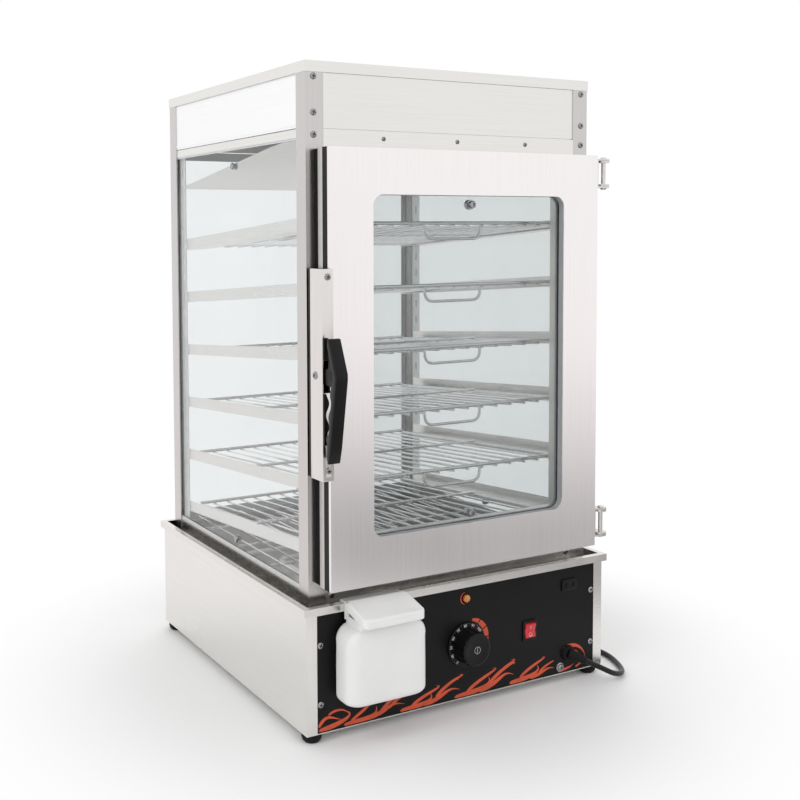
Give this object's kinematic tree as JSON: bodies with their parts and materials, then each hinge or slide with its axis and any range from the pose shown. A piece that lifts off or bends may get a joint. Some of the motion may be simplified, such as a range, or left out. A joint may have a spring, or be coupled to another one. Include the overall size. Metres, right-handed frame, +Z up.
{
  "type": "steam_display_cabinet",
  "caption": "Countertop bun steamer cabinet: stainless base with dial and rocker, glazed sides, hinged glass door, six wire shelves and a hung water box.",
  "frame": {"origin": "on the floor, under the middle of the cabinet's outer box with the mains lead left out", "axes": "+Z up, door faces -Y, +X to the right seen from the front"},
  "size_m": [0.6602, 0.544, 0.8445],
  "materials": {
    "satin_stainless_brushed_steel": "satin stainless",
    "clear_tempered_glass": "clear tempered",
    "fine_brushed_stainless_brushed_steel": "fine brushed stainless",
    "matte_rubber": "matte",
    "satin_black_with_an_orange_flame_print_painted_metal": "satin black with an orange flame print",
    "satin_black_matte_plastic": "satin black",
    "bright_chrome": "bright",
    "glossy_amber_gloss_plastic": "glossy amber",
    "polished_wire_chrome": "polished wire",
    "glossy_red_gloss_plastic": "glossy red",
    "smooth_white_gloss_plastic": "smooth white"
  },
  "bodies": {
    "cabinet": {"back_frame": "satin_stainless_brushed_steel", "back_glass": "clear_tempered_glass", "base_plate": "satin_stainless_brushed_steel", "base_shell": "fine_brushed_stainless_brushed_steel", "bottom_grid": "satin_stainless_brushed_steel", "cable_gland": "matte_rubber", "control_panel": "satin_black_with_an_orange_flame_print_painted_metal", "cord_coil": "matte_rubber", "corner_post_back_left": "fine_brushed_stainless_brushed_steel", "corner_post_back_right": "fine_brushed_stainless_brushed_steel", "corner_post_front_left": "fine_brushed_stainless_brushed_steel", "corner_post_front_right": "fine_brushed_stainless_brushed_steel", "drip_plate": "satin_stainless_brushed_steel", "frame_screws": "bright_chrome", "front_fascia": "fine_brushed_stainless_brushed_steel", "front_frame": "fine_brushed_stainless_brushed_steel", "glass_studs": "bright_chrome", "gutter_tray": "fine_brushed_stainless_brushed_steel", "heating_element": "satin_stainless_brushed_steel", "hinge_frame_leaves": "satin_stainless_brushed_steel", "hinge_pins": "satin_stainless_brushed_steel", "indicator_lamp": "glossy_amber_gloss_plastic", "latch_keeper": "satin_stainless_brushed_steel", "left_frame": "satin_stainless_brushed_steel", "left_glass": "clear_tempered_glass", "outlet_socket": "satin_black_matte_plastic", "pane_gaskets": "matte_rubber", "power_cord": "matte_rubber", "power_plug": "matte_rubber", "power_switch": "satin_black_matte_plastic", "rack_uprights": "satin_stainless_brushed_steel", "right_frame": "satin_stainless_brushed_steel", "right_glass": "clear_tempered_glass", "rubber_feet": "matte_rubber", "shelf_rails": "satin_stainless_brushed_steel", "thermostat": "satin_stainless_brushed_steel", "top_cover": "fine_brushed_stainless_brushed_steel", "upper_casing": "satin_stainless_brushed_steel", "water_pan": "satin_stainless_brushed_steel"},
    "door": {"door_plate": "fine_brushed_stainless_brushed_steel", "door_rubber": "matte_rubber", "door_glass": "clear_tempered_glass", "door_channel": "satin_stainless_brushed_steel", "door_seal": "matte_rubber", "hinge_door_leaves": "satin_stainless_brushed_steel", "latch_cover": "fine_brushed_stainless_brushed_steel", "latch_housing": "satin_black_matte_plastic", "door_screws": "bright_chrome"},
    "handle": {"door_handle": "satin_black_matte_plastic", "latch_hook": "satin_stainless_brushed_steel"},
    "knob": {"thermostat_knob": "satin_black_matte_plastic"},
    "rocker": {"switch_rocker": "glossy_red_gloss_plastic"},
    "box": {"water_box": "smooth_white_gloss_plastic"},
    "box_lid": {"water_box_lid": "smooth_white_gloss_plastic"},
    "shelf_1_body": {"shelf_1": "polished_wire_chrome"},
    "shelf_2_body": {"shelf_2": "polished_wire_chrome"},
    "shelf_3_body": {"shelf_3": "polished_wire_chrome"},
    "shelf_4_body": {"shelf_4": "polished_wire_chrome"},
    "shelf_5_body": {"shelf_5": "polished_wire_chrome"},
    "shelf_6_body": {"shelf_6": "polished_wire_chrome"}
  },
  "joints": [
    {"name": "door_hinge", "type": "hinge", "parent": "cabinet", "child": "door", "pos_m": [0.225, -0.2258, 0.4695], "axis": [0, 0, 1], "range_deg": [0, 170]},
    {"name": "handle_pivot", "type": "hinge", "parent": "door", "child": "handle", "pos_m": [-0.2189, -0.213, 0.461], "axis": [-1, 0, 0], "range_deg": [-4, 8]},
    {"name": "thermostat_turn", "type": "hinge", "parent": "cabinet", "child": "knob", "pos_m": [0.0017, -0.221, 0.085], "axis": [0, 1, 0], "range_deg": [0, 280]},
    {"name": "rocker_tilt", "type": "hinge", "parent": "cabinet", "child": "rocker", "pos_m": [0.1095, -0.2112, 0.085], "axis": [1, 0, 0], "range_deg": [0, 16]},
    {"name": "water_box_lift", "type": "slide", "parent": "cabinet", "child": "box", "axis": [0, 0, 1], "range_m": [0, 0.01]},
    {"name": "lid_hinge", "type": "hinge", "parent": "box", "child": "box_lid", "pos_m": [-0.147, -0.226, 0.1745], "axis": [-1, 0, 0], "range_deg": [0, 55]},
    {"name": "shelf_1_slide", "type": "slide", "parent": "cabinet", "child": "shelf_1_body", "axis": [0, -0.9973, 0.0732], "range_m": [0, 0.012]},
    {"name": "shelf_2_slide", "type": "slide", "parent": "cabinet", "child": "shelf_2_body", "axis": [0, -0.9973, 0.0732], "range_m": [0, 0.012]},
    {"name": "shelf_3_slide", "type": "slide", "parent": "cabinet", "child": "shelf_3_body", "axis": [0, -0.9973, 0.0732], "range_m": [0, 0.012]},
    {"name": "shelf_4_slide", "type": "slide", "parent": "cabinet", "child": "shelf_4_body", "axis": [0, -0.9973, 0.0732], "range_m": [0, 0.012]},
    {"name": "shelf_5_slide", "type": "slide", "parent": "cabinet", "child": "shelf_5_body", "axis": [0, -0.9973, 0.0732], "range_m": [0, 0.012]},
    {"name": "shelf_6_slide", "type": "slide", "parent": "cabinet", "child": "shelf_6_body", "axis": [0, -0.9973, 0.0732], "range_m": [0, 0.012]}
  ]
}
